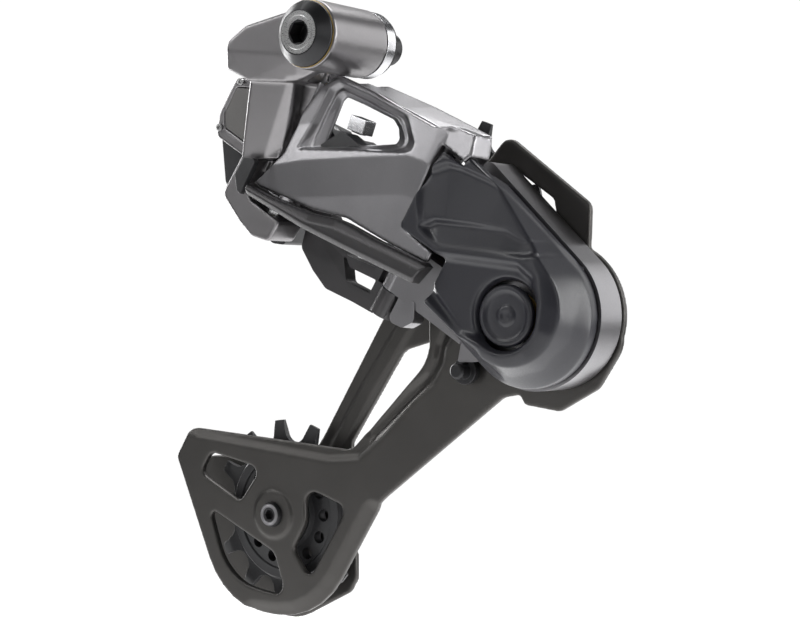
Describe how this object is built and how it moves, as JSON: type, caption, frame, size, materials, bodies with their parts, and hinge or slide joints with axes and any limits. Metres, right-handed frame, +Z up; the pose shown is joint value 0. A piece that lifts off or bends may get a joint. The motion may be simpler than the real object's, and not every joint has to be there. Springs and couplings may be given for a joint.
{
  "type": "rear bicycle derailleur",
  "caption": "Long-cage electronic rear derailleur with a slanted link parallelogram, a sprung cage and two toothed pulleys.",
  "frame": {"origin": "hanger bolt's axis at the frame hanger's outer face", "axes": "+X forward, +Y inboard along the hanger bolt, towards the wheel, +Z up; shown on the smallest sprocket"},
  "size_m": [0.1684, 0.0566, 0.1887],
  "materials": {
    "black_steel": "satin black steel",
    "polished_alloy": "polished alloy",
    "rubber_black": "matte",
    "silver_alloy": "satin silver-grey finish",
    "bushing": "plain bearing metal",
    "black_plastic": "matte black",
    "gray_paint": "satin grey",
    "steel": "plain steel",
    "board_green": "circuit board",
    "gunmetal_alloy": "satin gunmetal finish",
    "black_anodised": "satin black anodised",
    "cover_plastic": "satin blue-black",
    "dark_anodised": "satin dark grey anodised",
    "ceramic": "polished ceramic"
  },
  "bodies": {
    "hanger": {"hanger_bolt": "black_steel", "hanger_collar": "polished_alloy", "hanger_seal": "rubber_black"},
    "upper_knuckle": {"b_knuckle": "silver_alloy", "b_bushing": "bushing", "motor_case": "black_plastic", "motor_cover": "gray_paint", "drive_motor": "steel", "circuit_board": "board_green", "hinge_cover": "black_plastic", "b_tension_screw": "steel", "motor_screws": "steel", "link_pin_b_outer": "steel", "link_pin_b_inner": "steel"},
    "function_button": {"function_button": "black_plastic"},
    "outer_link": {"outer_link": "gunmetal_alloy", "outer_link_bushings": "bushing", "skid_rail": "black_anodised", "battery_pack": "black_plastic"},
    "battery_latch": {"battery_latch": "polished_alloy"},
    "inner_link": {"inner_link": "black_anodised", "inner_link_bushings": "bushing"},
    "lower_knuckle": {"p_knuckle": "gunmetal_alloy", "link_pin_p_outer": "steel", "link_pin_p_inner": "steel", "p_cover": "cover_plastic", "p_cap": "cover_plastic", "p_cover_screws": "steel", "p_bushing": "bushing", "p_seal": "rubber_black", "cage_spring": "steel"},
    "cage": {"cage_axle": "steel", "cage_outer_plate": "dark_anodised", "cage_inner_plate": "dark_anodised", "stop_pin": "black_steel", "guide_sleeve": "steel", "guide_bolt": "steel", "tension_sleeve": "steel", "tension_bolt": "black_steel"},
    "guide_wheel": {"guide_pulley": "black_plastic", "guide_race": "steel", "guide_balls": "ceramic", "guide_seals": "rubber_black"},
    "tension_wheel": {"tension_pulley": "black_plastic", "tension_race": "steel", "tension_balls": "ceramic", "tension_seals": "rubber_black"}
  },
  "joints": [
    {"name": "knuckle_swing", "type": "hinge", "parent": "hanger", "child": "upper_knuckle", "pos_m": [0, 0, 0], "axis": [0, 1, 0], "range_deg": [0, 30]},
    {"name": "outer_link_swing", "type": "hinge", "parent": "upper_knuckle", "child": "outer_link", "pos_m": [-0.019, -0.0095, -0.032], "axis": [0.5299, 0, 0.848], "range_deg": [0, 46]},
    {"name": "inner_link_swing", "type": "hinge", "parent": "upper_knuckle", "child": "inner_link", "pos_m": [-0.02239, 0.0055, -0.02988], "axis": [0.5299, 0, 0.848], "range_deg": [0, 46]},
    {"name": "lower_knuckle_swing", "type": "hinge", "parent": "outer_link", "child": "lower_knuckle", "pos_m": [0.02341, -0.01653, -0.0585], "axis": [0.5299, 0, 0.848], "range_deg": [-46, 0]},
    {"name": "cage_swing", "type": "hinge", "parent": "lower_knuckle", "child": "cage", "pos_m": [0.062, 0, -0.081], "axis": [0, 1, 0], "range_deg": [-85, 0], "stiffness_Nm_per_rad": 0.35, "springref_deg": 51.57},
    {"name": "guide_pulley_spin", "type": "hinge", "parent": "cage", "child": "guide_wheel", "pos_m": [0.023, 0.0122, -0.0515], "axis": [0, 1, 0], "continuous": true},
    {"name": "tension_pulley_spin", "type": "hinge", "parent": "cage", "child": "tension_wheel", "pos_m": [-0.0415, 0.0122, -0.144], "axis": [0, 1, 0], "continuous": true},
    {"name": "function_button_press", "type": "slide", "parent": "upper_knuckle", "child": "function_button", "axis": [-0.5299, 0, -0.848], "range_m": [0, 0.0008], "stiffness_N_per_m": 600, "springref_m": -0.0008},
    {"name": "battery_latch_slide", "type": "slide", "parent": "outer_link", "child": "battery_latch", "axis": [0.8398, -0.1392, -0.5248], "range_m": [0, 0.002]}
  ],
  "couplings": [
    {"joint": "inner_link_swing", "follows": "outer_link_swing", "ratio": 1},
    {"joint": "lower_knuckle_swing", "follows": "outer_link_swing", "ratio": -1}
  ]
}
